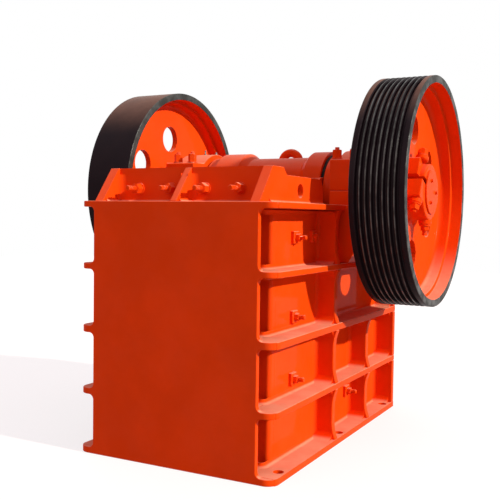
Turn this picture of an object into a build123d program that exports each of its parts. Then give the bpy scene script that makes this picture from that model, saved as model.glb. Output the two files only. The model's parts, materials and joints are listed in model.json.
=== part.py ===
from build123d import *
from math import atan2, cos, pi, radians, sin
import os

# A single-toggle jaw crusher. Millimetres, +Z up, the front plate towards -Y, the grooved pulley towards +X.
# The origin is on the foundation, at the centre of the four outer foundation bolts.

# Feed opening and crushing chamber
feed_width = 750.0
feed_gape = 500.0
closed_setting = 80.0
mouth_below_shaft = 70.0
discharge_level = 150.0

# Frame, with the shaft behind the feed opening and the rear face behind the shaft
front_plate_overhang = 35.0
front_plate_thick = 28.0
wall_thick = 35.0
cheek_thick = 22.0
rib_depth = 128.0
corner_radius = 58.0
tab_root_radius = 26.0
front_wall_setback = 212.0
front_wall_thick = 45.0
front_wall_head_setback = 150.0
front_wall_rise = 170.0
front_wall_edge_radius = 20.0
jaw_ledge_depth = 62.0
jaw_ledge_thick = 60.0
shaft_behind_mouth = 368.0
rear_reach = 585.0
rear_wall_thick = 45.0
rear_rib_depth = 70.0

# Horizontal ribs: how far each top face is above the one below it, and each thickness
base_thick = 32.0
lower_rib_top = 336.0
lower_rib_thick = 32.0
middle_rib_rise = 321.0
middle_rib_thick = 36.0
upper_rib_rise = 318.0
upper_rib_thick = 30.0
top_flange_rise = 315.0
top_flange_thick = 30.0

# Vertical ribs, placed from the shaft's axis to each rib's front
vertical_rib_thick = 40.0
vertical_rib_waist = 20.0
vertical_rib_flare = 95.0
first_rib_ahead = 440.0
second_rib_behind = 80.0

# Upper side plates and the gusset on the front shelf
side_plate_thick = 50.0
side_plate_drop = 37.0
side_plate_end_ahead = 445.0
side_plate_end_radius = 65.0
side_plate_hole_radius = 35.0
side_plate_hole_inset = 295.0
side_plate_hole_rise = 62.0
gusset_thick = 40.0
gusset_toe = 10.0

# Foundation bolts
first_bolt_distance = 135.0
last_bolt_distance = 105.0
bolt_beside_wall = 88.0
foundation_hole_radius = 26.0

# Shaft and swing jaw barrel
shaft_above_flange = 80.0
journal_radius = 100.0
hub_seat_radius = 92.0
eccentric_radius = 115.0
eccentric_throw = 12.0
eccentric_inset = 6.0
barrel_side_gap = 46.0
barrel_radius = 207.0
barrel_end_radius = 238.0
barrel_left_end_length = 155.0
barrel_right_end_length = 105.0
barrel_flare_length = 40.0
seal_radius = 215.0
seal_length = 70.0
seal_room = 15.0

# Bearing housings and their pedestals
housing_setback = 8.0
housing_width = 200.0
housing_radius = 240.0
housing_half_length = 295.0
cap_ear_height = 174.0
cap_fillet_radius = 34.0
cap_corner_radius = 14.0
pedestal_half_length = 350.0
pedestal_foot_half_length = 300.0
pedestal_undercut = 125.0

# Flywheel and grooved pulley
wheel_radius = 635.0
wheel_setback = 38.0
wheel_width = 291.0
rim_thick = 60.0
rim_lip_thick = 40.0
rim_lip_depth = 46.0
web_thick = 36.0
pulley_web_inset = 15.0
hub_radius = 156.0
hub_recess = 41.0
web_hole_radius = 83.0
web_hole_circle = 350.0
web_hole_count = 6
web_fillet = 24.0
hub_edge_radius = 9.0
groove_count = 8
groove_pitch = 30.0
groove_depth = 19.0
groove_top_width = 23.0
groove_floor_width = 11.0
clamp_angle = 154.0
clamp_face_distance = 187.0
clamp_length = 240.0
clamp_slot = 32.0
clamp_width = 110.0
clamp_step = 30.0
end_plate_radius = 123.0
end_plate_thick = 10.0

# Jaw plates
tooth_count = 12
tooth_depth = 25.0
tooth_flat_share = 0.3
fixed_plate_thick = 70.0
fixed_plate_bottom = 120.0
jaw_plates_above_flange = 110.0
fixed_plate_side_gap = 2.0
swing_plate_thick = 70.0
swing_plate_side_gap = 10.0

# Moving jaw body, along and behind the swing jaw's face
jaw_slab_thick = 60.0
jaw_slab_overrun = 34.0
jaw_rib_thick = 40.0
jaw_inner_rib_x = 100.0
jaw_rib_reach = 30.0
seat_block_length = 210.0
seat_block_depth = 200.0
seat_block_start = 120.0
wedge_length = 70.0

# Toggle plate, its seats and the tension rod
toggle_rise = 182.0
toggle_thick = 44.0
toggle_end_radius = 30.0
toggle_beam_depth = 84.0
open_pivot_gap = 18.0
seat_groove_depth = 20.0
toggle_block_length = 200.0
toggle_block_height = 190.0
toggle_block_side_gap = 67.0
toggle_inset = 40.0
seat_block_overlap = 10.0
shims_length = 60.0
guide_height = 30.0
guide_width = 120.0
rod_radius = 28.0
rod_level = 100.0
rod_lug_length = 90.0
rod_lug_half_width = 45.0
rod_lug_half_height = 42.0
rod_hole_clearance = 14.0
rod_overrun = 300.0
spring_radius = 62.0
spring_wire_radius = 11.0
spring_turns = 5
spring_end_gap = 22.0
spring_cup_depth = 60.0
spring_cup_wall = 12.0
spring_washer_thick = 24.0

# Lifting eye on the barrel
eye_inner_radius = 32.0
eye_bar_radius = 26.0
eye_setback = 150.0
eye_drop = 14.0
eye_pad_height = 45.0

# Clearances, and how far a cut runs past the face it opens
running_gap = 0.08
seat_gap = 0.3
hub_gap = 0.1
overcut = 1.0

# Distances across, from the middle of the machine
cheek_x = feed_width / 2
wall_in_x = cheek_x + cheek_thick
wall_x = wall_in_x + wall_thick
rib_x = wall_x + rib_depth
plate_x = wall_x + front_plate_overhang
barrel_half_length = wall_in_x - barrel_side_gap
seal_x = barrel_half_length + seal_length
housing_inner_x = wall_x + housing_setback
housing_outer_x = housing_inner_x + housing_width
wheel_inner_x = housing_outer_x + wheel_setback
wheel_outer_x = wheel_inner_x + wheel_width
hub_outer_x = wheel_outer_x - hub_recess
toggle_block_half_width = wall_in_x - toggle_block_side_gap
toggle_half_width = toggle_block_half_width - toggle_inset
seat_block_half_width = toggle_half_width + seat_block_overlap

# Levels
middle_rib_top = lower_rib_top + middle_rib_rise
upper_rib_top = middle_rib_top + upper_rib_rise
top_flange_top = upper_rib_top + top_flange_rise
front_wall_top = top_flange_top + front_wall_rise
jaw_plates_top = top_flange_top + jaw_plates_above_flange
shaft_level = top_flange_top + shaft_above_flange
gape_level = shaft_level - mouth_below_shaft
rib_rows = [
    (base_thick, lower_rib_top - lower_rib_thick),
    (lower_rib_top, middle_rib_top - middle_rib_thick),
    (middle_rib_top, upper_rib_top - upper_rib_thick),
    (upper_rib_top, top_flange_top - top_flange_thick),
]

# Distances along, first from the front face and then from the origin
fixed_face_distance = front_wall_setback + front_wall_thick + fixed_plate_thick
shaft_distance = fixed_face_distance + feed_gape + shaft_behind_mouth
frame_length = shaft_distance + rear_reach
bolt_row_spacing = frame_length - first_bolt_distance - last_bolt_distance
front = -(first_bolt_distance + bolt_row_spacing / 2)
rear = front + frame_length
shaft_y = front + shaft_distance
front_wall_y = front + front_wall_setback
head_y = front + front_wall_head_setback
front_wall_back = front_wall_y + front_wall_thick
rear_wall_y = rear - rear_wall_thick
fixed_face_y = front + fixed_face_distance
jaw_foot_y = fixed_face_y + closed_setting
side_plate_end_y = shaft_y - side_plate_end_ahead
toggle_beam_y = rear_wall_y - toggle_beam_depth
toggle_rear_y = toggle_beam_y - shims_length - toggle_block_length - seat_groove_depth

# The swing jaw leans back so that the feed opening is feed_gape wide at its level
jaw_tilt = atan2(feed_gape - closed_setting, gape_level - discharge_level)
swing_plate_length = (jaw_plates_top - discharge_level) / cos(jaw_tilt)
shaft_axis = Axis((0, shaft_y, shaft_level), (1, 0, 0))


def block(x0, x1, y0, y1, z0, z1):
    """A box between two corners."""
    return Pos((x0 + x1) / 2, (y0 + y1) / 2, (z0 + z1) / 2) * Box(x1 - x0, y1 - y0, z1 - z0)


def side_profile(points, x0, x1):
    """A flat piece whose outline is drawn in side view, from x0 to x1."""
    face = make_face(Polyline(*points, close=True))
    return extrude(Plane.YZ.offset(x0) * face, amount=x1 - x0)


def cross_rod(radius, x0, x1, y, z):
    """A round bar along X."""
    plane = Plane(origin=(x0, y, z), x_dir=(0, 1, 0), z_dir=(1, 0, 0))
    return extrude(plane * Circle(radius), amount=x1 - x0)


def long_rod(radius, y0, y1, x, z):
    """A round bar along Y."""
    plane = Plane(origin=(x, y0, z), x_dir=(-1, 0, 0), z_dir=(0, 1, 0))
    return extrude(plane * Circle(radius), amount=y1 - y0)


def turned(points, roundings=()):
    """A body turned about the shaft's axis from (x, radius) points, with fillets at some of them."""
    outline = make_face(Polyline(*points, close=True))
    for radius, places in roundings:
        corners = [outline.vertices().sort_by_distance(place)[0] for place in places]
        outline = fillet(corners, radius)
    plane = Plane(origin=(0, shaft_y, shaft_level), x_dir=(1, 0, 0), z_dir=(0, -1, 0))
    return revolve(plane * outline, shaft_axis)


def jaw_point(along, behind):
    """Side-view place measured up along the swing jaw's face and square behind it."""
    y = jaw_foot_y + along * sin(jaw_tilt) + behind * cos(jaw_tilt)
    z = discharge_level + along * cos(jaw_tilt) - behind * sin(jaw_tilt)
    return y, z


def plan_corner():
    """The whole frame's outline in plan, with its two front corners rounded."""
    outline = Pos(0, (front + rear) / 2) * Rectangle(2 * rib_x, frame_length)
    corners = outline.vertices().group_by(Axis.Y)[0]
    return extrude(fillet(corners, corner_radius), amount=top_flange_top)


def save(name, shape):
    export_step(shape, f"parts/{name}.step")


def save_pair(name, right_piece):
    save(name + "_right", right_piece)
    save(name + "_left", mirror(right_piece, about=Plane.YZ))


def front_plate(corner):
    height = top_flange_top
    outline = Pos(0, height / 2) * Rectangle(2 * plate_x, height)
    levels = [(0.0, base_thick)]
    levels += [(low, high) for (_, low), (high, _) in zip(rib_rows, rib_rows[1:])]
    levels.append((rib_rows[-1][1], top_flange_top))
    for low, high in levels:
        outline += Pos(0, (low + high) / 2) * Rectangle(2 * rib_x, high - low)
    roots = [v for v in outline.vertices() if abs(abs(v.X) - plate_x) < overcut]
    outline = fillet(roots, tab_root_radius)
    plate = extrude(Plane.XZ.offset(-(front + front_plate_thick)) * outline, amount=front_plate_thick)
    return plate & corner


def front_wall():
    """The wall behind the hollow front beam, its thicker head above the shelf, and the jaw's ledge."""
    head_bottom = top_flange_top - top_flange_thick
    wall = block(-wall_x, wall_x, front_wall_y, front_wall_back, base_thick, head_bottom)
    edges = wall.edges().filter_by(Axis.Z).group_by(Axis.Y)[0]
    wall = fillet(edges, front_wall_edge_radius)
    wall += block(-wall_x, wall_x, head_y, front_wall_back, head_bottom, front_wall_top)
    ledge_top = fixed_plate_bottom
    ledge = side_profile(
        [
            (front_wall_back, ledge_top),
            (front_wall_back + jaw_ledge_depth, ledge_top),
            (front_wall_back, ledge_top - jaw_ledge_thick),
        ],
        -wall_in_x,
        wall_in_x,
    )
    return wall + ledge


def front_shelves():
    """The webs that close the hollow front beam at each rib level."""
    shelves = [
        (0.0, base_thick, front_wall_y),
        (lower_rib_top - lower_rib_thick, lower_rib_top, front_wall_y),
        (middle_rib_top - middle_rib_thick, middle_rib_top, front_wall_y),
        (upper_rib_top - upper_rib_thick, upper_rib_top, front_wall_y),
        (top_flange_top - top_flange_thick, top_flange_top, head_y),
    ]
    return Compound(
        [
            block(-wall_x, wall_x, front + front_plate_thick, back, low, high)
            for low, high, back in shelves
        ]
    )


def front_gusset():
    return side_profile(
        [
            (front + gusset_toe, top_flange_top),
            (head_y, top_flange_top),
            (head_y, front_wall_top),
        ],
        -gusset_thick / 2,
        gusset_thick / 2,
    )


def side_wall():
    wall = side_profile(
        [
            (front_wall_back, base_thick),
            (rear_wall_y, base_thick),
            (rear_wall_y, upper_rib_top),
            (shaft_y + pedestal_half_length + vertical_rib_thick, top_flange_top),
            (front_wall_back, top_flange_top),
        ],
        wall_in_x,
        wall_x,
    )
    low, high = wall_in_x - overcut, wall_x + overcut
    return wall - cross_rod(seal_radius + seal_room, low, high, shaft_y, shaft_level)


def horizontal_rib(corner, low, high):
    slab = block(wall_x, rib_x, front + front_plate_thick, rear, low, high)
    return slab & corner


def top_flange(corner):
    low = top_flange_top - top_flange_thick
    front_end = shaft_y - pedestal_half_length
    front_run = block(wall_x, rib_x, front + front_plate_thick, front_end, low, top_flange_top)
    slope_start = shaft_y + pedestal_half_length
    slope = side_profile(
        [
            (slope_start, low),
            (slope_start + vertical_rib_thick - top_flange_thick / 2, low),
            (rear_wall_y - top_flange_thick, upper_rib_top),
            (rear_wall_y, upper_rib_top),
            (slope_start + vertical_rib_thick, top_flange_top),
            (slope_start, top_flange_top),
        ],
        wall_x,
        rib_x,
    )
    return Compound([*(front_run & corner).solids(), *slope.solids()])


def base_flange(corner):
    slab = block(wall_in_x, rib_x, front + front_plate_thick, rear, 0, base_thick)
    beam_room = block(wall_in_x - overcut, wall_x, front, front_wall_y, -overcut, base_thick + overcut)
    flange = (slab & corner) - beam_room
    for row in (-1, 0, 1):
        place = Pos(wall_x + bolt_beside_wall, row * bolt_row_spacing / 2, base_thick / 2)
        flange -= place * Cylinder(foundation_hole_radius, 2 * base_thick)
    return flange


def vertical_rib(distance, low, high):
    """One upright rib between two levels, waisted between its flared ends."""
    waist_x = rib_x - vertical_rib_waist
    outline = make_face(
        Polyline(
            (waist_x, high - vertical_rib_flare),
            (waist_x, low + vertical_rib_flare),
        )
        + TangentArc((waist_x, low + vertical_rib_flare), (rib_x, low), tangent=(0, -1))
        + Polyline((rib_x, low), (wall_x, low), (wall_x, high), (rib_x, high))
        + TangentArc((waist_x, high - vertical_rib_flare), (rib_x, high), tangent=(0, 1))
    )
    back = front + distance + vertical_rib_thick
    return extrude(Plane.XZ.offset(-back) * outline, amount=vertical_rib_thick)


def vertical_ribs():
    first_distance = shaft_distance - first_rib_ahead
    second_distance = shaft_distance + second_rib_behind
    rear_distance = frame_length - vertical_rib_thick
    ribs = [vertical_rib(first_distance, low, high) for low, high in rib_rows]
    ribs += [vertical_rib(second_distance, low, high) for low, high in rib_rows[:2]]
    ribs += [vertical_rib(rear_distance, low, high) for low, high in rib_rows[:3]]
    return Compound([solid for rib in ribs for solid in rib.solids()])


def upper_side_plate():
    """The plate beside the mouth, with a sloped front end, a round hole and a rounded rear corner."""
    step = front_wall_top - side_plate_drop
    points = [
        (front + gusset_toe, top_flange_top),
        (head_y - gusset_toe, front_wall_top),
        (front_wall_back, front_wall_top),
        (front_wall_back + side_plate_drop, step),
        (side_plate_end_y, step),
        (side_plate_end_y, top_flange_top),
    ]
    outline = make_face(Polyline(*points, close=True))
    rear_corner = outline.vertices().sort_by_distance((side_plate_end_y, step))[0]
    outline = fillet(rear_corner, side_plate_end_radius)
    hole_place = Pos(side_plate_end_y - side_plate_hole_inset, top_flange_top + side_plate_hole_rise)
    outline -= hole_place * Circle(side_plate_hole_radius)
    plate = extrude(Plane.YZ.offset(plate_x - side_plate_thick) * outline, amount=side_plate_thick)
    # The front wall passes between the two plates, so its width is cut out of them.
    high = front_wall_top + overcut
    wall_room = block(0, wall_x, head_y, front_wall_back, top_flange_top - overcut, high)
    return plate - wall_room


def rear_wall():
    wall = block(-wall_x, wall_x, rear_wall_y, rear, base_thick, upper_rib_top)
    for (_, low), (high, _) in zip(rib_rows, rib_rows[1:]):
        wall += block(-wall_x, wall_x, rear, rear + rear_rib_depth, low, high)
    beam_low, beam_high = toggle_block_levels()
    wall += block(-wall_in_x, wall_in_x, toggle_beam_y, rear_wall_y, beam_low, beam_high)
    hole = long_rod(rod_radius + rod_hole_clearance, rear_wall_y - overcut, rear + overcut, 0, rod_level)
    return wall - hole


def bearing_pedestal():
    low = upper_rib_top
    outline = side_profile(
        [
            (shaft_y - pedestal_foot_half_length, low),
            (shaft_y + pedestal_foot_half_length, low),
            (shaft_y + pedestal_half_length, top_flange_top - top_flange_thick),
            (shaft_y + pedestal_half_length, top_flange_top),
            (shaft_y - pedestal_half_length, top_flange_top),
            (shaft_y - pedestal_half_length, top_flange_top - top_flange_thick),
        ],
        wall_x,
        housing_outer_x,
    )
    tip = housing_outer_x + overcut
    seat = cross_rod(housing_radius + seat_gap, wall_x - overcut, tip, shaft_y, shaft_level)
    slope = make_face(Polyline((rib_x, low), (tip, low), (tip, low + pedestal_undercut), close=True))
    back = shaft_y + pedestal_half_length + overcut
    undercut = extrude(Plane.XZ.offset(-back) * slope, amount=2 * (pedestal_half_length + overcut))
    return outline - seat - undercut


def housing_half(outline):
    """Bores and extrudes half of a bearing housing, drawn in side view round the shaft's axis."""
    outline -= Circle(journal_radius + running_gap)
    plane = Plane(origin=(housing_inner_x, shaft_y, shaft_level), x_dir=(0, 1, 0), z_dir=(1, 0, 0))
    return extrude(plane * outline, amount=housing_width)


def bearing_housing():
    """The lower half: two feet on the top flange and a round belly in the pedestal's seat."""
    feet = Pos(0, -shaft_above_flange / 2) * Rectangle(2 * housing_half_length, shaft_above_flange)
    below = Pos(0, -housing_radius / 2) * Rectangle(2 * housing_radius, housing_radius)
    return housing_half(feet + (Circle(housing_radius) & below))


def bearing_cap():
    """The upper half: a round crown between two ears, with cast fillets where they meet."""
    ears = Pos(0, cap_ear_height / 2) * Rectangle(2 * housing_half_length, cap_ear_height)
    above = Pos(0, housing_radius / 2) * Rectangle(2 * housing_radius, housing_radius)
    outline = ears + (Circle(housing_radius) & above)
    tops = outline.vertices().filter_by(lambda v: abs(v.Y - cap_ear_height) < overcut)
    outline = fillet(tops.filter_by(lambda v: abs(v.X) < housing_radius), cap_fillet_radius)
    tops = outline.vertices().filter_by(lambda v: abs(v.Y - cap_ear_height) < overcut)
    outline = fillet(tops.filter_by(lambda v: abs(v.X) > housing_radius + overcut), cap_corner_radius)
    return housing_half(outline)


def toothed_profile(width, thick, start_high):
    """Section of a corrugated jaw plate, with the tooth tips at y = 0 and the back at y = thick."""
    pitch = width / tooth_count
    flat = tooth_flat_share * pitch
    first, second = (0.0, tooth_depth) if start_high else (tooth_depth, 0.0)
    points = [(-width / 2, thick), (-width / 2, first)]
    for tooth in range(tooth_count):
        left = -width / 2 + tooth * pitch
        points += [
            (left + flat / 2, first),
            (left + pitch / 2 - flat / 2, second),
            (left + pitch / 2 + flat / 2, second),
            (left + pitch - flat / 2, first),
        ]
    points += [(width / 2, first), (width / 2, thick)]
    return make_face(Polyline(*points, close=True))


def fixed_jaw_plate():
    width = feed_width - 2 * fixed_plate_side_gap
    plane = Plane(origin=(0, fixed_face_y, fixed_plate_bottom), x_dir=(-1, 0, 0), z_dir=(0, 0, 1))
    profile = toothed_profile(width, fixed_plate_thick, False)
    return extrude(plane * profile, amount=jaw_plates_top - fixed_plate_bottom)


def swing_jaw_plate():
    width = feed_width - 2 * swing_plate_side_gap
    foot_y, foot_z = jaw_point(0, 0)
    along = (0, sin(jaw_tilt), cos(jaw_tilt))
    plane = Plane(origin=(0, foot_y, foot_z), x_dir=(1, 0, 0), z_dir=along)
    profile = toothed_profile(width, swing_plate_thick, True)
    return extrude(plane * profile, amount=swing_plate_length)


def jaw_plate_wedge():
    """The clamping bar over the swing jaw plate's top end."""
    half = cheek_x - swing_plate_side_gap
    return side_profile(
        [
            jaw_point(swing_plate_length, tooth_depth),
            jaw_point(swing_plate_length, swing_plate_thick),
            jaw_point(swing_plate_length + wedge_length, swing_plate_thick),
        ],
        -half,
        half,
    )


def cheek_plate():
    bottom = fixed_plate_bottom
    foot_y, _ = jaw_point(0, swing_plate_thick)
    top_y, _ = jaw_point(swing_plate_length, swing_plate_thick)
    return side_profile(
        [
            (front_wall_back, bottom),
            (foot_y, bottom),
            (top_y, top_flange_top),
            (front_wall_back, top_flange_top),
        ],
        cheek_x,
        wall_in_x,
    )


def seat_centre():
    """Side-view centre of the toggle plate's rounded front end."""
    seat_back = swing_plate_thick + jaw_slab_thick + seat_block_depth
    y, z = jaw_point(seat_block_start + seat_block_length / 2, seat_back)
    return y + toggle_end_radius - seat_groove_depth + open_pivot_gap, z


def toggle_rear():
    """Side-view centre of the toggle plate's rear end, in the toggle block's groove."""
    return toggle_rear_y, seat_centre()[1] + toggle_rise


def toggle_block_levels():
    _, z = toggle_rear()
    return z - toggle_block_height / 2, z + toggle_block_height / 2


def rod_lug():
    """The lug under the toggle seat that the tension rod is fixed in."""
    root_y, root_z = jaw_point(0, swing_plate_thick)
    top_y, top_z = jaw_point(seat_block_start, swing_plate_thick + jaw_slab_thick)
    low = rod_level - rod_lug_half_height
    return side_profile(
        [
            (root_y, root_z),
            (top_y, top_z),
            (rod_start() - rod_lug_half_height / 2, rod_level + rod_lug_half_height),
            (rod_start(), rod_level + rod_radius),
            (rod_start(), low),
            (top_y - rod_lug_half_height, low),
        ],
        -rod_lug_half_width,
        rod_lug_half_width,
    )


def rod_start():
    return jaw_point(0, swing_plate_thick + jaw_slab_thick)[0] + rod_lug_length


def barrel_half(end_length):
    """The (x, radius) outline of half the barrel, out to the axis at its seal cover."""
    flare_end = barrel_half_length - end_length
    return [
        (flare_end - barrel_flare_length, barrel_radius),
        (flare_end, barrel_end_radius),
        (barrel_half_length, barrel_end_radius),
        (barrel_half_length, seal_radius),
        (seal_x, seal_radius),
        (seal_x, 0),
    ]


def pitman():
    slab_back = swing_plate_thick + jaw_slab_thick
    half = cheek_x - swing_plate_side_gap
    slab_top = swing_plate_length + wedge_length
    slab = side_profile(
        [
            jaw_point(0, swing_plate_thick),
            jaw_point(slab_top, swing_plate_thick),
            jaw_point(slab_top + jaw_slab_overrun, slab_back),
            jaw_point(0, slab_back),
        ],
        -half,
        half,
    )
    left_half = [(-x, radius) for x, radius in reversed(barrel_half(barrel_left_end_length))]
    barrel = turned(left_half + barrel_half(barrel_right_end_length))
    seat_back = slab_back + seat_block_depth
    rib_angle = radians(jaw_rib_reach)
    rib_points = [
        jaw_point(0, swing_plate_thick),
        jaw_point(slab_top, swing_plate_thick),
        (shaft_y, shaft_level),
        (shaft_y + barrel_radius * cos(rib_angle), shaft_level - barrel_radius * sin(rib_angle)),
        jaw_point(seat_block_start + seat_block_length, seat_back),
        jaw_point(seat_block_start, slab_back + seat_block_depth / 2),
    ]
    body = slab + barrel
    outer_rib_x = barrel_half_length - jaw_rib_thick
    for x in (jaw_inner_rib_x, outer_rib_x):
        rib = side_profile(rib_points, x, x + jaw_rib_thick)
        body += rib
        body += mirror(rib, about=Plane.YZ)
    body += side_profile(
        [
            jaw_point(seat_block_start, slab_back),
            jaw_point(seat_block_start + seat_block_length, slab_back),
            jaw_point(seat_block_start + seat_block_length, seat_back),
            jaw_point(seat_block_start, seat_back),
        ],
        -seat_block_half_width,
        seat_block_half_width,
    )
    body += rod_lug()
    y, z = seat_centre()
    reach = seal_x + overcut
    groove = cross_rod(toggle_end_radius + open_pivot_gap, -reach, reach, y, z)
    bore_radius = eccentric_radius + eccentric_throw + seat_gap
    return body - groove - cross_rod(bore_radius, -reach, reach, shaft_y, shaft_level)


def toggle_plate():
    front_y, front_z = seat_centre()
    rear_y, rear_z = toggle_rear()
    slope = atan2(rear_z - front_z, rear_y - front_y)
    half = toggle_thick / 2
    points = [
        (front_y - half * sin(slope), front_z + half * cos(slope)),
        (front_y + half * sin(slope), front_z - half * cos(slope)),
        (rear_y + half * sin(slope), rear_z - half * cos(slope)),
        (rear_y - half * sin(slope), rear_z + half * cos(slope)),
    ]
    plate = side_profile(points, -toggle_half_width, toggle_half_width)
    for y, z in ((front_y, front_z), (rear_y, rear_z)):
        plate += cross_rod(toggle_end_radius, -toggle_half_width, toggle_half_width, y, z)
    return plate


def toggle_block():
    y, z = toggle_rear()
    low, high = toggle_block_levels()
    face_y = y + toggle_end_radius - seat_groove_depth
    half = toggle_block_half_width
    body = block(-half, half, face_y, toggle_beam_y - shims_length, low, high)
    reach = half + overcut
    return body - cross_rod(toggle_end_radius + seat_gap, -reach, reach, y, z)


def adjusting_shims():
    low, high = toggle_block_levels()
    half = toggle_block_half_width
    return block(-half, half, toggle_beam_y - shims_length, toggle_beam_y, low, high)


def toggle_block_guides():
    """The rails on the side walls that the toggle block slides on."""
    low, _ = toggle_block_levels()
    start = toggle_rear()[0]
    right = block(wall_in_x - guide_width, wall_in_x, start, rear_wall_y, low - guide_height, low)
    return Compound([*right.solids(), *mirror(right, about=Plane.YZ).solids()])


def tension_rod():
    washer_end = rear + rod_overrun - spring_washer_thick
    rod = long_rod(rod_radius, rod_start(), rear + rod_overrun, 0, rod_level)
    washer = long_rod(spring_radius, washer_end - spring_washer_thick, washer_end, 0, rod_level)
    return rod + washer


def spring_cup():
    room_radius = spring_radius + rod_hole_clearance
    end = rear + spring_cup_depth
    cup = long_rod(room_radius + spring_cup_wall, rear, end, 0, rod_level)
    room = long_rod(room_radius, rear + spring_cup_wall, end + overcut, 0, rod_level)
    hole = long_rod(rod_radius + rod_hole_clearance, rear - overcut, end, 0, rod_level)
    return cup - room - hole


def rod_spring():
    """The coil spring on the tension rod, between the cup and the rod's washer."""
    start = rear + spring_cup_wall + spring_end_gap + spring_wire_radius
    end = rear + rod_overrun - 2 * spring_washer_thick - spring_wire_radius - seat_gap
    coil_radius = spring_radius - spring_wire_radius
    path = Helix(pitch=(end - start) / spring_turns, height=end - start, radius=coil_radius)
    wire = Plane(origin=path @ 0, z_dir=path % 0) * Circle(spring_wire_radius)
    return Pos(0, start, rod_level) * Rot(-90, 0, 0) * sweep(wire, path=path)


def lifting_eye():
    y = shaft_y + eye_setback
    z = shaft_level + barrel_radius - eye_drop
    ring = Pos(0, y, z) * Rot(90, 0, 0) * Torus(eye_inner_radius + eye_bar_radius, eye_bar_radius)
    half = eye_inner_radius
    pad_top = z - eye_pad_height
    pad = block(-half, half, y - eye_bar_radius, y + eye_bar_radius, shaft_level, pad_top)
    barrel = cross_rod(barrel_radius, -barrel_half_length, barrel_half_length, shaft_y, shaft_level)
    return ring + pad - barrel


def wheel(outer_points, web_inset):
    """A wheel with one web; outer_points run along the rim from its inner to its outer side."""
    middle = wheel_inner_x + wheel_width / 2 - web_inset
    web_low = middle - web_thick / 2
    web_high = middle + web_thick / 2
    inner = wheel_radius - rim_thick
    lip = wheel_radius - rim_lip_thick
    bore = hub_seat_radius + hub_gap
    hub_inner_x = wheel_inner_x + hub_recess
    points = [
        (hub_outer_x, bore),
        (hub_outer_x, hub_radius),
        (web_high, hub_radius),
        (web_high, inner),
        (wheel_outer_x - rim_lip_depth, inner),
        (wheel_outer_x - rim_lip_depth, lip),
        (wheel_outer_x, lip),
        *reversed(outer_points),
        (wheel_inner_x, lip),
        (wheel_inner_x + rim_lip_depth, lip),
        (wheel_inner_x + rim_lip_depth, inner),
        (web_low, inner),
        (web_low, hub_radius),
        (hub_inner_x, hub_radius),
        (hub_inner_x, bore),
    ]
    web_roots = [(x, radius) for x in (web_low, web_high) for radius in (hub_radius, inner)]
    hub_edges = [(hub_inner_x, hub_radius), (hub_outer_x, hub_radius)]
    body = turned(points, ((web_fillet, web_roots), (hub_edge_radius, hub_edges)))
    for index in range(web_hole_count):
        angle = 2 * pi * (index + 1 / 2) / web_hole_count
        y = shaft_y + web_hole_circle * cos(angle)
        z = shaft_level + web_hole_circle * sin(angle)
        body -= cross_rod(web_hole_radius, web_low - overcut, web_high + overcut, y, z)
    return body


def clamp_lugs():
    """The two lugs of the split clamp on the hub's outer end, and the slot between them."""
    plane = Plane(
        origin=(hub_outer_x - clamp_width, shaft_y, shaft_level),
        x_dir=(0, cos(radians(clamp_angle)), sin(radians(clamp_angle))),
        z_dir=(1, 0, 0),
    )
    root_distance = hub_radius / 2
    lug_length = clamp_face_distance - root_distance
    lug_middle = root_distance + lug_length / 2
    half = Rectangle(lug_length, clamp_length / 2)
    lugs = extrude(plane * Pos(lug_middle, -clamp_length / 4) * half, amount=clamp_width)
    lugs += extrude(plane * Pos(lug_middle, clamp_length / 4) * half, amount=clamp_width - clamp_step)
    slot_length = clamp_face_distance + overcut
    slot = plane * Pos(slot_length / 2, 0) * Rectangle(slot_length, clamp_slot)
    ring = cross_rod(hub_seat_radius + hub_gap, -wheel_outer_x, wheel_outer_x, shaft_y, shaft_level)
    return lugs - ring, extrude(slot, amount=clamp_width)


def with_clamp(body):
    lugs, slot = clamp_lugs()
    return body + lugs - slot


def flywheel():
    rim = [(wheel_inner_x, wheel_radius), (wheel_outer_x, wheel_radius)]
    return mirror(with_clamp(wheel(rim, 0.0)), about=Plane.YZ)


def grooved_pulley():
    first = wheel_inner_x + (wheel_width - groove_count * groove_pitch) / 2
    rim = [(wheel_inner_x, wheel_radius)]
    for index in range(groove_count):
        centre = first + (index + 0.5) * groove_pitch
        rim += [
            (centre - groove_top_width / 2, wheel_radius),
            (centre - groove_floor_width / 2, wheel_radius - groove_depth),
            (centre + groove_floor_width / 2, wheel_radius - groove_depth),
            (centre + groove_top_width / 2, wheel_radius),
        ]
    rim.append((wheel_outer_x, wheel_radius))
    return with_clamp(wheel(rim, pulley_web_inset))


def eccentric_shaft():
    eccentric_half_length = barrel_half_length - eccentric_inset
    shaft = cross_rod(journal_radius, -housing_outer_x, housing_outer_x, shaft_y, shaft_level)
    shaft += cross_rod(hub_seat_radius, -hub_outer_x, hub_outer_x, shaft_y, shaft_level)
    shaft += cross_rod(
        eccentric_radius,
        -eccentric_half_length,
        eccentric_half_length,
        shaft_y,
        shaft_level + eccentric_throw,
    )
    return shaft


def hub_end_plates():
    right = cross_rod(end_plate_radius, hub_outer_x, hub_outer_x + end_plate_thick, shaft_y, shaft_level)
    return Compound([*right.solids(), *mirror(right, about=Plane.YZ).solids()])


os.makedirs("parts", exist_ok=True)
frame_corner = plan_corner()

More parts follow.
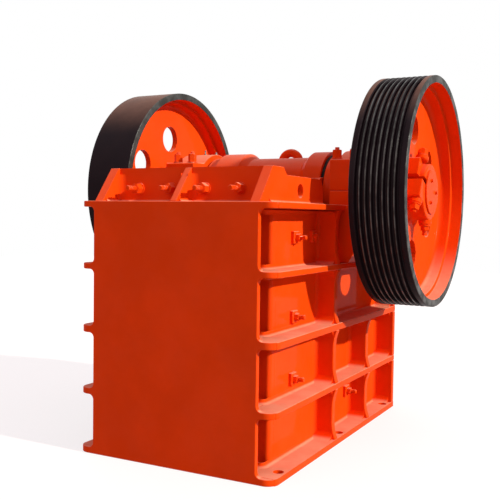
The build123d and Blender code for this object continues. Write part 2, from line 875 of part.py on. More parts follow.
save("front_plate", front_plate(frame_corner))
save("front_wall", front_wall())
save("front_shelves", front_shelves())
save("front_gusset", front_gusset())
save("rear_wall", rear_wall())
save_pair("side_wall", side_wall())
save_pair("upper_side_plate", upper_side_plate())
save_pair("top_flange", top_flange(frame_corner))
save_pair("upper_rib", horizontal_rib(frame_corner, upper_rib_top - upper_rib_thick, upper_rib_top))
save_pair("middle_rib", horizontal_rib(frame_corner, middle_rib_top - middle_rib_thick, middle_rib_top))
save_pair("lower_rib", horizontal_rib(frame_corner, lower_rib_top - lower_rib_thick, lower_rib_top))
save_pair("base_flange", base_flange(frame_corner))
save_pair("vertical_ribs", vertical_ribs())
save_pair("bearing_pedestal", bearing_pedestal())
save_pair("bearing_housing", bearing_housing())
save_pair("bearing_cap", bearing_cap())
save_pair("cheek_plate", cheek_plate())
save("fixed_jaw_plate", fixed_jaw_plate())
save("toggle_block", toggle_block())
save("adjusting_shims", adjusting_shims())
save("toggle_block_guides", toggle_block_guides())
save("spring_cup", spring_cup())

save("pitman", pitman())
save("swing_jaw_plate", swing_jaw_plate())
save("jaw_plate_wedge", jaw_plate_wedge())
save("lifting_eye", lifting_eye())
save("tension_rod", tension_rod())
save("rod_spring", rod_spring())
save("toggle_plate", toggle_plate())

save("eccentric_shaft", eccentric_shaft())
save("flywheel", flywheel())
save("grooved_pulley", grooved_pulley())
save("hub_end_plates", hub_end_plates())
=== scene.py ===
# A single-toggle jaw crusher: red ribbed frame, red wheels with black rims, toothed jaws.
# Metres, +Z up, -Y is the front plate, +X is the grooved pulley's side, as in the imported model.

import bmesh
import bpy
import json
from math import cos, hypot, pi, radians, sin, tan
from mathutils import Matrix, Vector

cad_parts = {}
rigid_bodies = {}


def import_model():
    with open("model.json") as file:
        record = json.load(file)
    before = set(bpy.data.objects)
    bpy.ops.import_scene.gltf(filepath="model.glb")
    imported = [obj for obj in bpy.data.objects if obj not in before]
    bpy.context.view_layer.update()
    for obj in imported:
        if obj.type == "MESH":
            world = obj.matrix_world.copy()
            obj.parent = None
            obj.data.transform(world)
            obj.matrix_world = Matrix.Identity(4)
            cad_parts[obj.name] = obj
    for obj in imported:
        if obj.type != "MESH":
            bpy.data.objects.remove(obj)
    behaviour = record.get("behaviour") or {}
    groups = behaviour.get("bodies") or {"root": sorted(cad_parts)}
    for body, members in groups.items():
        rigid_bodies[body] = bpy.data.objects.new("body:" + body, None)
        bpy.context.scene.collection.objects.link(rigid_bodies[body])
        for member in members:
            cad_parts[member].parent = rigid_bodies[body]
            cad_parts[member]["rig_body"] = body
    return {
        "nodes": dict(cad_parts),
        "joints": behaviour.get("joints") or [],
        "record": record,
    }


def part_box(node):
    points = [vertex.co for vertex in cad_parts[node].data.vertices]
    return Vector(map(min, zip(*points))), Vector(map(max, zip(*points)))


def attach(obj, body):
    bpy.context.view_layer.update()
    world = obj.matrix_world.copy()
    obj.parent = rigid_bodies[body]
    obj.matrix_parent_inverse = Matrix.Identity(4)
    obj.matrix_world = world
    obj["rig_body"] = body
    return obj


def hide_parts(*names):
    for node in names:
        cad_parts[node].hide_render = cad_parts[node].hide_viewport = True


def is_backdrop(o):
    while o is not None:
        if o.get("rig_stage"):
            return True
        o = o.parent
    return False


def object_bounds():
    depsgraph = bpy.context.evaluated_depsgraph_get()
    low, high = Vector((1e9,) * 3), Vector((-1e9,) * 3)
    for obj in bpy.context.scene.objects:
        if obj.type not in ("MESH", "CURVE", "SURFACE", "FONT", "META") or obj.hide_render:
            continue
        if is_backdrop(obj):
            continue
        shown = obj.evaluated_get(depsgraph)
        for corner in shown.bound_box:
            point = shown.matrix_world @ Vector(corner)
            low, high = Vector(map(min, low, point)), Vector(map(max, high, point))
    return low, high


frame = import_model()

bl_info = {
    "name": "Jaw Crusher",
    "version": (1, 0, 0),
    "blender": (4, 5, 0),
    "location": "View3D > Sidebar > Crusher",
    "description": "Dresses the packed jaw crusher with paint, castings, bolts and studs",
    "category": "Object",
}


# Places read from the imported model

SIDES = (("right", 1), ("left", -1))


class Places:
    """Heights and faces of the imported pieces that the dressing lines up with."""

    def __init__(self):
        self.plate_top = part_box("front_plate")[1].z
        self.wall_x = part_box("side_wall_right")[1].x
        self.rib_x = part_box("lower_rib_right")[1].x
        self.rib_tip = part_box("vertical_ribs_right")[1].x
        self.front_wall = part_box("front_wall")[0].y
        spin = next(joint for joint in frame["joints"] if joint["name"] == "shaft_spin")
        self.shaft = Vector(spin["pos_m"])
        # The rows of side cells, from the top of one rib to the underside of the next.
        # The top flange, over the last row, is as thick as the middle rib.
        level_nodes = ("base_flange", "lower_rib", "middle_rib", "upper_rib")
        levels = [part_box(node + "_right") for node in level_nodes]
        flange_underside = self.plate_top - (levels[2][1].z - levels[2][0].z)
        undersides = [low.z for low, _ in levels[1:]] + [flange_underside]
        self.rows = list(zip([high.z for _, high in levels], undersides))


# Colours and sizes that a user would change


class CrusherColours(bpy.types.PropertyGroup):
    """Paint and metal colours."""

    frame_paint: bpy.props.FloatVectorProperty(
        name="Frame paint", description="Glossy enamel on the frame, wheels, housings and swing jaw",
        default=(0.80, 0.060, 0.003), subtype="COLOR", size=3, min=0, max=1,
    )
    rim_paint: bpy.props.FloatVectorProperty(
        name="Rim paint", description="Black on the outside of the flywheel's and the pulley's rims",
        default=(0.016, 0.012, 0.015), subtype="COLOR", size=3, min=0, max=1,
    )
    bare_steel: bpy.props.FloatVectorProperty(
        name="Bare steel", description="Turned rims, shaft, tension rod and other unpainted steel",
        default=(0.30, 0.29, 0.275), subtype="COLOR", size=3, min=0, max=1,
    )
    manganese: bpy.props.FloatVectorProperty(
        name="Manganese steel", description="As-cast jaw plates and cheek plates",
        default=(0.115, 0.105, 0.095), subtype="COLOR", size=3, min=0, max=1,
    )
    # Pale colour on level faces: partly stone dust, partly a painted sheen of the sky on the tops.
    dust_and_sheen: bpy.props.FloatVectorProperty(
        name="Stone dust", description="Pale dust that settles on level faces",
        default=(0.84, 0.45, 0.31), subtype="COLOR", size=3, min=0, max=1,
    )


class CrusherSizes(bpy.types.PropertyGroup):
    """Sizes of the fasteners and of the cast edges."""

    edge_radius: bpy.props.FloatProperty(
        name="Edge radius", description="Rounding of the frame's cast and ground edges",
        default=0.005, min=0.001, max=0.02, unit="LENGTH",
    )
    wall_fillet: bpy.props.FloatProperty(
        name="Wall fillet", description="Cast fillet between a rib and the side wall",
        default=0.022, min=0.005, max=0.06, unit="LENGTH",
    )
    corner_fillet: bpy.props.FloatProperty(
        name="Corner fillet", description="Cast fillet where two ribs cross",
        default=0.04, min=0.005, max=0.08, unit="LENGTH",
    )
    jaw_bolt_nut: bpy.props.FloatProperty(
        name="Jaw bolt nut", description="Width across the flats of the nuts that hold the fixed jaw plate",
        default=0.048, min=0.03, max=0.1, unit="LENGTH",
    )
    liner_bolt_nut: bpy.props.FloatProperty(
        name="Liner bolt nut", description="Width across the flats of the nuts that hold the cheek plates",
        default=0.036, min=0.02, max=0.08, unit="LENGTH",
    )
    bearing_stud_nut: bpy.props.FloatProperty(
        name="Bearing stud nut", description="Width across the flats of the nuts on the bearing caps",
        default=0.044, min=0.03, max=0.1, unit="LENGTH",
    )
    clamp_bolt_nut: bpy.props.FloatProperty(
        name="Clamp bolt nut", description="Width across the flats of the nuts on the wheels' split clamps",
        default=0.05, min=0.03, max=0.1, unit="LENGTH",
    )


def colours():
    return bpy.context.scene.crusher_colours


def sizes():
    return bpy.context.scene.crusher_sizes


# Objects and meshes


def new_object(name, data):
    made = bpy.data.objects.new(name, data)
    bpy.context.scene.collection.objects.link(made)
    return made


def mesh_object(name, bm):
    """An object with the shape of a bmesh, which is used up."""
    mesh = bpy.data.meshes.new(name)
    bm.to_mesh(mesh)
    bm.free()
    return new_object(name, mesh)


def new_piece(name, bm, finishes, body, smooth_angle=35):
    """Turns a bmesh into a piece with its finishes, that rides on a body."""
    bmesh.ops.recalc_face_normals(bm, faces=bm.faces)
    piece = mesh_object(name, bm)
    for finish_name in finishes:
        piece.data.materials.append(finish(finish_name))
    piece.data.shade_smooth()
    piece.data.set_sharp_from_angle(angle=radians(smooth_angle))
    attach(piece, body)
    return piece


def apply_modifiers(piece):
    """Replaces the piece's mesh by what its modifiers make of it."""
    bpy.context.view_layer.update()
    graph = bpy.context.evaluated_depsgraph_get()
    made = bpy.data.meshes.new_from_object(piece.evaluated_get(graph))
    piece.modifiers.clear()
    old = piece.data
    piece.data = made
    bpy.data.meshes.remove(old)
    made.name = piece.name


def bevel(piece, width, segments, angle):
    """Rounds the sharp edges of a piece and evens its shading."""
    rounding = piece.modifiers.new("rounding", "BEVEL")
    rounding.width = width
    rounding.segments = segments
    rounding.limit_method = "ANGLE"
    rounding.angle_limit = radians(angle)
    rounding.miter_outer = "MITER_ARC"
    piece.modifiers.new("evening", "WEIGHTED_NORMAL")
    apply_modifiers(piece)
    piece.data.shade_smooth()


def welded_copy(node):
    """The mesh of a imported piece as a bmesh, with its doubled corners joined."""
    bm = bmesh.new()
    bm.from_mesh(frame["nodes"][node].data)
    bmesh.ops.remove_doubles(bm, verts=bm.verts, dist=2e-5)
    return bm


def softened(node, finish_name, width, segments=2, angle=30, reshape=None):
    """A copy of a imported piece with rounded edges, shown in its place."""
    bm = welded_copy(node)
    if reshape:
        reshape(bm)
    bmesh.ops.dissolve_limit(bm, angle_limit=radians(0.6), verts=bm.verts, edges=bm.edges)
    body = frame["nodes"][node]["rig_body"]
    piece = new_piece(node + "_cast", bm, [finish_name], body)
    bevel(piece, width, segments, angle)
    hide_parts(node)


def node_slot(node):
    return next(part["material_slot"] for part in frame["record"]["subparts"] if part["node"] == node)


def facing(direction, spot):
    """A matrix that turns +Z to a direction and moves the origin to a spot."""
    turn = Vector(direction).normalized().to_track_quat("Z", "Y").to_matrix().to_4x4()
    return Matrix.Translation(spot) @ turn


def raised(place, height):
    """The same matrix, moved along its own Z axis."""
    return place @ Matrix.Translation((0, 0, height))


def skin(bm, rings):
    """Joins closed rings of vertices one to the next, and closes both ends."""
    count = len(rings[0])
    for low, high in zip(rings, rings[1:]):
        for k in range(count):
            nxt = (k + 1) % count
            bm.faces.new([low[k], low[nxt], high[nxt], high[k]])
    bm.faces.new(list(reversed(rings[0])))
    bm.faces.new(rings[-1])


def lathe(bm, profile, place, steps=48, closed=True):
    """Turns (radius, height) points about the local Z axis; a closed profile runs round the section."""
    rings = []
    for step in range(steps):
        angle = 2 * pi * step / steps
        spots = [Vector((radius * cos(angle), radius * sin(angle), height)) for radius, height in profile]
        rings.append([bm.verts.new(place @ spot) for spot in spots])
    count = len(profile)
    for here, there in zip(rings, rings[1:] + rings[:1]):
        for k in range(count if closed else count - 1):
            nxt = (k + 1) % count
            bm.faces.new([here[k], there[k], there[nxt], here[nxt]])


def prism(bm, outline, place, height, chamfer=0.0, chamfer_bottom=False):
    """Raises a closed outline along the local Z axis, chamfered at the top and if asked at the foot."""
    stations = [(0, chamfer), (chamfer, 0)] if chamfer_bottom else [(0, 0)]
    stations += [(height - chamfer, 0), (height, chamfer)] if chamfer else [(height, 0)]
    corners = [Vector((x, y, 0)) for x, y in outline]
    centre = sum(corners, Vector()) / len(corners)
    rings = []
    for z, inset in stations:
        inward = [(centre - corner).normalized() * inset for corner in corners]
        rings.append([bm.verts.new(place @ (c + i + Vector((0, 0, z)))) for c, i in zip(corners, inward)])
    skin(bm, rings)


def square(width, height):
    x, y = width / 2, height / 2
    return [(-x, -y), (x, -y), (x, y), (-x, y)]


def circle(radius, count):
    return [(radius * cos(2 * pi * k / count), radius * sin(2 * pi * k / count)) for k in range(count)]


# A turned profile starts and ends this close to its axis, which closes it to the eye.
POLE = 0.0001


def washer(bm, place, radius, thick):
    """A disc with small chamfers, as a washer or as a round boss."""
    edge = min(thick, radius) * 0.18
    rim = [(radius - edge, 0), (radius, edge), (radius, thick - edge), (radius - edge, thick)]
    lathe(bm, [(POLE, 0), *rim, (POLE, thick)], place, 32, closed=False)


def hex_nut(bm, place, across_flats, thick, turn=0.0):
    """A hexagon nut with turned corner chamfers on both faces."""
    steps = 48
    flat_radius = across_flats / 2
    face_radius = flat_radius * 0.985
    chamfer_slope = tan(radians(30))
    rings = []
    for on_face, at_top in ((True, False), (False, False), (False, True), (True, True)):
        ring = []
        for step in range(steps):
            angle = 2 * pi * step / steps
            side = flat_radius / cos(angle % (pi / 3) - pi / 6)
            reach = face_radius if on_face else side
            depth = 0.0 if on_face else (side - face_radius) * chamfer_slope
            height = thick - depth if at_top else depth
            spot = Vector((reach * cos(angle + turn), reach * sin(angle + turn), height))
            ring.append(bm.verts.new(place @ spot))
        rings.append(ring)
    skin(bm, rings)


def threaded_end(bm, place, radius, length):
    """The free end of a bolt with ring grooves for its thread and a chamfered tip."""
    pitch = 0.004
    depth = pitch / 2
    profile = [(POLE, 0), (radius, 0)]
    for k in range(max(1, int((length - radius * 0.3) / pitch))):
        for share, cut in ((0.1, 0), (0.5, depth), (0.9, 0)):
            profile.append((radius - cut, pitch * (k + share)))
    profile += [(radius, length - radius * 0.2), (radius * 0.8, length), (POLE, length)]
    lathe(bm, profile, place, 24, closed=False)


def fastener(bm, place, washer_size, nut_size, turn=0.0, stud=None):
    """A washer (radius, thickness) with a nut (across flats, thickness), and a stud (radius, length)."""
    washer(bm, place, *washer_size)
    on_washer = raised(place, washer_size[1])
    hex_nut(bm, on_washer, *nut_size, turn)
    if stud:
        threaded_end(bm, on_washer, *stud)


def hollow_curve(radius, steps=6):
    """The concave quarter of a fillet as (out, up) points, from one face to the other."""
    turns = [pi / 2 * k / steps for k in range(1, steps)]
    between = [(radius * (1 - sin(turn)), radius * (1 - cos(turn))) for turn in turns]
    return [(radius, 0), *between, (0, radius)]


def fillet_strip(bm, start, end, along_u, along_v, radius):
    """A closed concave fillet in the corner between two faces, from start to end."""
    u, v = Vector(along_u), Vector(along_v)
    section = [Vector()] + [u * out + v * up for out, up in hollow_curve(radius)]
    skin(bm, [[bm.verts.new(Vector(at) + point) for point in section] for at in (start, end)])


# Shader nodes and node groups


def feed(tree, value, socket):
    """Links another node's output to a socket, or sets the socket to a number or a colour."""
    if isinstance(value, bpy.types.NodeSocket):
        tree.links.new(value, socket)
    elif isinstance(value, (int, float)):
        socket.default_value = value
    else:
        socket.default_value = (*value, 1.0)


def plug(tree, sockets, **values):
    """Feeds the sockets of these names, where _ stands for a space."""
    for name, value in values.items():
        feed(tree, value, sockets[name.replace("_", " ")])


def math_node(tree, operation, first, second, clamp=False):
    node = tree.nodes.new("ShaderNodeMath")
    node.operation = operation
    node.use_clamp = clamp
    feed(tree, first, node.inputs[0])
    feed(tree, second, node.inputs[1])
    return node.outputs[0]


def times(tree, first, second, clamp=False):
    return math_node(tree, "MULTIPLY", first, second, clamp)


def ramp(tree, value, low, high, low_out=0.0, high_out=1.0):
    node = tree.nodes.new("ShaderNodeMapRange")
    node.interpolation_type = "SMOOTHSTEP"
    plug(tree, node.inputs, Value=value, From_Min=low, From_Max=high, To_Min=low_out, To_Max=high_out)
    return node.outputs["Result"]


def noise(tree, vector, scale, detail, roughness=0.55):
    node = tree.nodes.new("ShaderNodeTexNoise")
    plug(tree, node.inputs, Vector=vector, Scale=scale, Detail=detail, Roughness=roughness)
    return node.outputs["Fac"]


def mixed(tree, factor, first, second):
    node = tree.nodes.new("ShaderNodeMix")
    node.data_type = "RGBA"
    for index, value in ((0, factor), (6, first), (7, second)):
        feed(tree, value, node.inputs[index])
    return node.outputs[2]


def bump(tree, height, strength, distance):
    node = tree.nodes.new("ShaderNodeBump")
    plug(tree, node.inputs, Height=height, Strength=strength, Distance=distance)
    return node.outputs["Normal"]


def object_place(tree):
    return tree.nodes.new("ShaderNodeTexCoord").outputs["Object"]


def new_group(name, inputs, outputs):
    """A shader node group with named number sockets: its tree, its inputs and its results."""
    group = bpy.data.node_groups.new(name, "ShaderNodeTree")
    for socket_name, default in inputs.items():
        socket = group.interface.new_socket(socket_name, in_out="INPUT", socket_type="NodeSocketFloat")
        socket.default_value = default
    for socket_name in outputs:
        group.interface.new_socket(socket_name, in_out="OUTPUT", socket_type="NodeSocketFloat")
    return group, group.nodes.new("NodeGroupInput").outputs, group.nodes.new("NodeGroupOutput").inputs


def cast_skin_group():
    """Height and tone of a painted casting: slow waviness, fine orange peel and pin holes."""
    group, given, result = new_group("cast_skin", {"Waviness": 0.6, "Grain": 0.4}, ["Height", "Tone"])
    place = object_place(group)
    slow = noise(group, place, 5.0, 3.0)
    middle = noise(group, place, 28.0, 4.0)
    fine = noise(group, place, 240.0, 2.0)
    waves = times(group, math_node(group, "ADD", slow, middle), given["Waviness"])
    height = math_node(group, "ADD", waves, times(group, fine, given["Grain"]))
    tone = ramp(group, noise(group, place, 2.3, 6.0, 0.6), 0.35, 0.68)
    plug(group, result, Height=height, Tone=tone)


def dust_and_sheen_group():
    """How much dust and painted sheen lies at each point: most on faces that look up, uneven in patches."""
    group, given, result = new_group("settled_dust_and_sheen", {"Amount": 0.5, "Patch size": 6.0}, ["Mask"])
    geometry = group.nodes.new("ShaderNodeNewGeometry")
    split = group.nodes.new("ShaderNodeSeparateXYZ")
    plug(group, split.inputs, Vector=geometry.outputs["Normal"])
    up = ramp(group, split.outputs["Z"], 0.5, 0.97)
    patches = ramp(group, noise(group, object_place(group), given["Patch size"], 7.0, 0.62), 0.36, 0.66)
    everywhere = times(group, patches, 0.04)
    uneven = math_node(group, "ADD", times(group, patches, 0.6), 2.0)
    total = math_node(group, "ADD", times(group, up, uneven), everywhere)
    plug(group, result, Mask=times(group, total, given["Amount"], clamp=True))


def edge_wear_group():
    """Edges, where paint has rubbed off and, on the enamel, where a painted highlight lightens them:
    bevelled normals that differ from the true ones, broken up.
    """
    group, given, result = new_group("edge_wear", {"Width": 0.006, "Break up": 60.0}, ["Mask"])
    geometry = group.nodes.new("ShaderNodeNewGeometry")
    softer = group.nodes.new("ShaderNodeBevel")
    softer.samples = 4
    plug(group, softer.inputs, Radius=given["Width"])
    dot = group.nodes.new("ShaderNodeVectorMath")
    dot.operation = "DOT_PRODUCT"
    feed(group, geometry.outputs["True Normal"], dot.inputs[0])
    feed(group, softer.outputs["Normal"], dot.inputs[1])
    edge = ramp(group, dot.outputs["Value"], 0.97, 0.80)
    broken = ramp(group, noise(group, object_place(group), given["Break up"], 5.0, 0.5), 0.56, 0.64)
    plug(group, result, Mask=times(group, edge, broken, clamp=True))


def group_node(tree, group_name, **values):
    """Places a node group with its own values and gives its output sockets."""
    node = tree.nodes.new("ShaderNodeGroup")
    node.node_tree = bpy.data.node_groups[group_name]
    plug(tree, node.inputs, **values)
    return node.outputs


# Materials


def new_material(name):
    """A material's node tree and the input sockets of its Principled BSDF."""
    material = bpy.data.materials.new(name)
    material.use_nodes = True
    return material.node_tree, material.node_tree.nodes["Principled BSDF"].inputs


def finish(name):
    return bpy.data.materials[name]


def enamel_material(name, colour, roughness, coat, dust_and_sheen_amount, edge_colour):
    """Machine enamel over a casting, wavy and glossy, with pale dust and a painted sheen on level faces,
    and lighter edges that are partly rubbed paint and partly a painted highlight.
    """
    tree, shader = new_material(name)
    cast = group_node(tree, "cast_skin", Waviness=0.9, Grain=0.10)
    # Dust and a painted sheen of the sky, pale on faces that look up.
    dust_and_sheen = group_node(tree, "settled_dust_and_sheen", Amount=dust_and_sheen_amount)["Mask"]
    wear = group_node(tree, "edge_wear", Width=0.005)["Mask"]
    deep = [channel * 0.93 for channel in colour]
    bright = [min(1.0, channel * 1.04) for channel in colour]
    painted = mixed(tree, cast["Tone"], deep, bright)
    # Lighter edges: partly rubbed paint, partly a painted highlight.
    worn = mixed(tree, times(tree, wear, 0.5), painted, edge_colour)
    dulled = math_node(tree, "ADD", times(tree, dust_and_sheen, 0.5), roughness, clamp=True)
    clean = math_node(tree, "SUBTRACT", 1.0, dust_and_sheen, clamp=True)
    plug(
        tree, shader,
        Base_Color=mixed(tree, dust_and_sheen, worn, colours().dust_and_sheen),
        Roughness=dulled,
        IOR=1.04,
        Coat_Weight=times(tree, clean, coat),
        Coat_IOR=1.22,
        Coat_Roughness=0.06,
        Normal=bump(tree, cast["Height"], 0.25, 0.004),
    )


def bare_metal_material(name, colour, roughness):
    """Machined steel with fine tool marks, a stain pattern and a film of old oil."""
    tree, shader = new_material(name)
    place = object_place(tree)
    stretch = tree.nodes.new("ShaderNodeMapping")
    stretch.inputs["Scale"].default_value = (8.0, 160.0, 160.0)
    plug(tree, stretch.inputs, Vector=place)
    marks = noise(tree, stretch.outputs["Vector"], 3.0, 3.0)
    stains = ramp(tree, noise(tree, place, 14.0, 7.0, 0.6), 0.38, 0.66)
    dark = [channel * 0.45 for channel in colour]
    plug(
        tree, shader,
        Base_Color=mixed(tree, stains, dark, colour),
        Metallic=0.85,
        Roughness=ramp(tree, stains, 0.0, 1.0, roughness + 0.22, roughness),
        Normal=bump(tree, marks, 0.12, 0.0006),
    )


def manganese_material(name, colour):
    """As-cast manganese steel: dark, sandy, with rust and rubbed crests."""
    rust, edge_colour = (0.145, 0.07, 0.035), (0.34, 0.33, 0.31)
    tree, shader = new_material(name)
    cast = group_node(tree, "cast_skin", Waviness=0.5, Grain=0.9)
    wear = group_node(tree, "edge_wear", Width=0.012, Break_up=24.0)["Mask"]
    # Dust and a painted sheen on the plates' level faces.
    dust_and_sheen = group_node(tree, "settled_dust_and_sheen", Amount=0.5)["Mask"]
    worn = mixed(tree, wear, mixed(tree, cast["Tone"], colour, rust), edge_colour)
    plug(
        tree, shader,
        Base_Color=mixed(tree, dust_and_sheen, worn, colours().dust_and_sheen),
        Metallic=times(tree, wear, 0.8),
        Roughness=0.62,
        Normal=bump(tree, cast["Height"], 0.5, 0.003),
    )


def seal_material(name):
    """Felt and rubber seals, soaked with old grease."""
    tree, shader = new_material(name)
    place = object_place(tree)
    greasy = ramp(tree, noise(tree, place, 40.0, 5.0), 0.35, 0.7)
    plug(
        tree, shader,
        Base_Color=mixed(tree, greasy, (0.012, 0.011, 0.010), (0.035, 0.03, 0.026)),
        Roughness=ramp(tree, greasy, 0.0, 1.0, 0.28, 0.6),
        IOR=1.15,
        Normal=bump(tree, noise(tree, place, 300.0, 2.0), 0.2, 0.001),
    )


# Operators: one for each group of pieces


class CRUSHER_OT_finishes(bpy.types.Operator):
    """Makes the paint, steel and rubber finishes"""

    bl_idname = "crusher.finishes"
    bl_label = "Finishes"

    def execute(self, context):
        cast_skin_group()
        dust_and_sheen_group()
        edge_wear_group()
        palette = colours()
        paint = tuple(palette.frame_paint)
        # A darker copy of the paint, as painted shade on the barrel in the pulley's shadow.
        shaded_paint = tuple(channel * 0.9 for channel in paint)
        # Pale pink edge colour: partly rubbed paint, partly a painted highlight along the edges.
        edge_colour = (0.85, 0.30, 0.20)
        # The fifth value is the dust and painted sheen on level faces; the last colour goes on the edges.
        for name, colour, roughness, coat, dust_and_sheen, worn in (
            ("frame_enamel", paint, 0.32, 0.15, 0.25, edge_colour),
            ("fillet_enamel", paint, 0.32, 0.15, 0.25, paint),
            # Hub copy with less dust and sheen, as painted shade on the hub inside the rim.
            ("hub_shaded_enamel", paint, 0.32, 0.15, 0.06, edge_colour),
            # Barrel: darker paint with less dust and sheen, as painted shade.
            ("barrel_shaded_enamel", shaded_paint, 0.36, 0.3, 0.1, (0.80, 0.26, 0.18)),
            ("rim_black", tuple(palette.rim_paint), 0.38, 0.2, 0.08, (0.12, 0.11, 0.10)),
        ):
            enamel_material(name, colour, roughness, coat, dust_and_sheen, worn)
        for name, share, roughness in (
            ("bare_steel", 1.0, 0.32),
            ("dark_steel", 0.4, 0.4),
            ("rim_face", 0.26, 0.42),
            ("ridge_steel", 0.22, 0.34),
        ):
            bare_metal_material(name, [channel * share for channel in palette.bare_steel], roughness)
        manganese_material("manganese_steel_skin", tuple(palette.manganese))
        seal_material("greasy_seal")
        slot_finish = {
            "frame_paint": "frame_enamel",
            "wheel_paint": "frame_enamel",
            "manganese_steel": "manganese_steel_skin",
            "machined_steel": "dark_steel",
        }
        for node, packed in frame["nodes"].items():
            packed.data.materials.clear()
            packed.data.materials.append(finish(slot_finish[node_slot(node)]))
        return {"FINISHED"}


class CRUSHER_OT_frame_castings(bpy.types.Operator):
    """Rounds the edges of the frame's plates, walls and ribs"""

    bl_idname = "crusher.frame_castings"
    bl_label = "Frame castings"

    def execute(self, context):
        edge = sizes().edge_radius
        for node in ("front_plate", "front_wall", "front_shelves", "front_gusset", "rear_wall"):
            softened(node, "frame_enamel", edge)
        walls = ("side_wall", "upper_side_plate", "top_flange")
        ribs = ("upper_rib", "middle_rib", "lower_rib", "base_flange", "vertical_ribs")
        for node in (*walls, *ribs, "bearing_pedestal"):
            reshape = straight_rear_ribs if node == "vertical_ribs" else None
            for side, _ in SIDES:
                softened(f"{node}_{side}", "frame_enamel", edge, reshape=reshape)
        return {"FINISHED"}


def straight_rear_ribs(bm):
    """Gives the rearmost upright rib of every row a straight outer edge."""
    here = Places()
    rib_root = here.wall_x + 0.03
    start = max(ribs[-1][0] for ribs in rib_spans(here)) - 0.001
    for vert in bm.verts:
        reach = abs(vert.co.x)
        if vert.co.y > start and reach > rib_root:
            vert.co.x *= here.rib_tip / reach


def rib_spans(here):
    """For each row of cells, the [front, back] spans of its upright ribs, read from their corners."""
    corners = [vert.co for vert in frame["nodes"]["vertical_ribs_right"].data.vertices]
    least_cell, slack = 0.1, 0.001
    rows = []
    for low, high in here.rows:
        spans = []
        for y in sorted(corner.y for corner in corners if low - slack < corner.z < high + slack):
            if spans and y - spans[-1][1] < least_cell:
                spans[-1][1] = y
            else:
                spans.append([y, y])
        rows.append(spans)
    return rows


class CRUSHER_OT_cast_fillets(bpy.types.Operator):
    """Adds the cast fillets inside every cell of the side ribs"""

    bl_idname = "crusher.cast_fillets"
    bl_label = "Cast fillets"

    def execute(self, context):
        here = Places()
        for side, sign in SIDES:
            bm = bmesh.new()
            for (low, high), ribs in zip(here.rows, rib_spans(here)):
                for (_, back), (front, _) in zip(ribs, ribs[1:]):
                    cell_fillets(bm, here, sign, back, front, low, high)
                front_cell_fillets(bm, here, sign, ribs[0][0], low, high)
            new_piece(f"cell_fillets_{side}", bm, ["fillet_enamel"], "frame", 60)
        shelf_fillets(here)
        return {"FINISHED"}


# The fillets between the ribs stop this far short of the horizontal ribs' tips.
RIB_TIP_INSET = 0.022
# Rounding of the front wall's upright edges.
WALL_EDGE = 0.02


def cell_fillets(bm, here, sign, y0, y1, z0, z1):
    """The cast fillets of one cell between the side ribs: round the wall and up its four corners."""
    wall, tip = sign * here.wall_x, sign * (here.rib_x - RIB_TIP_INSET)
    for start, end, inward in (
        ((wall, y0, z0), (wall, y1, z0), (0, 0, 1)),
        ((wall, y0, z1), (wall, y1, z1), (0, 0, -1)),
        ((wall, y0, z0), (wall, y0, z1), (0, 1, 0)),
        ((wall, y1, z0), (wall, y1, z1), (0, -1, 0)),
    ):
        fillet_strip(bm, start, end, (sign, 0, 0), inward, sizes().wall_fillet)
    for y, along_y in ((y0, 1), (y1, -1)):
        for z, along_z in ((z0, 1), (z1, -1)):
            start, end = (wall, y, z), (tip, y, z)
            fillet_strip(bm, start, end, (0, along_y, 0), (0, 0, along_z), sizes().corner_fillet)


def front_cell_fillets(bm, here, sign, rib_face, low, high):
    """The cast fillets of the foremost cell of a row, which is open towards the front plate."""
    small, large = sizes().wall_fillet, sizes().corner_fillet
    out, forward = (sign, 0, 0), (0, -1, 0)
    wall, tip = sign * here.wall_x, sign * (here.rib_x - RIB_TIP_INSET)
    turn_x, turn_y = sign * (here.wall_x - WALL_EDGE), here.front_wall + WALL_EDGE
    for level, inward in ((low, 1), (high, -1)):
        upward = (0, 0, inward)
        corner = (wall, rib_face, level)
        fillet_strip(bm, (wall, turn_y, level), corner, out, upward, small)
        fillet_turn(bm, sign, (turn_x, turn_y, level), inward, WALL_EDGE, small)
        middle, end = (0, here.front_wall, level), (turn_x, here.front_wall, level)
        fillet_strip(bm, middle, end, forward, upward, small)
        fillet_strip(bm, corner, (tip, rib_face, level), forward, upward, large)
    fillet_strip(bm, (wall, rib_face, low), (wall, rib_face, high), out, forward, small)


def fillet_turn(bm, sign, centre, inward, edge, radius, steps=6):
    """The quarter turn of a fillet round the foot of a rounded upright edge, from side to front."""
    buried = edge - 0.001
    foot, upward = Vector(centre), Vector((0, 0, inward))
    curve = [(edge + out, up) for out, up in hollow_curve(radius)]
    section = [(buried, 0), *curve, (buried, radius)]
    rings = []
    for k in range(steps + 1):
        angle = pi / 2 * k / steps
        outward = Vector((sign * cos(angle), -sin(angle), 0))
        rings.append([bm.verts.new(foot + outward * reach + upward * rise) for reach, rise in section])
    skin(bm, rings)


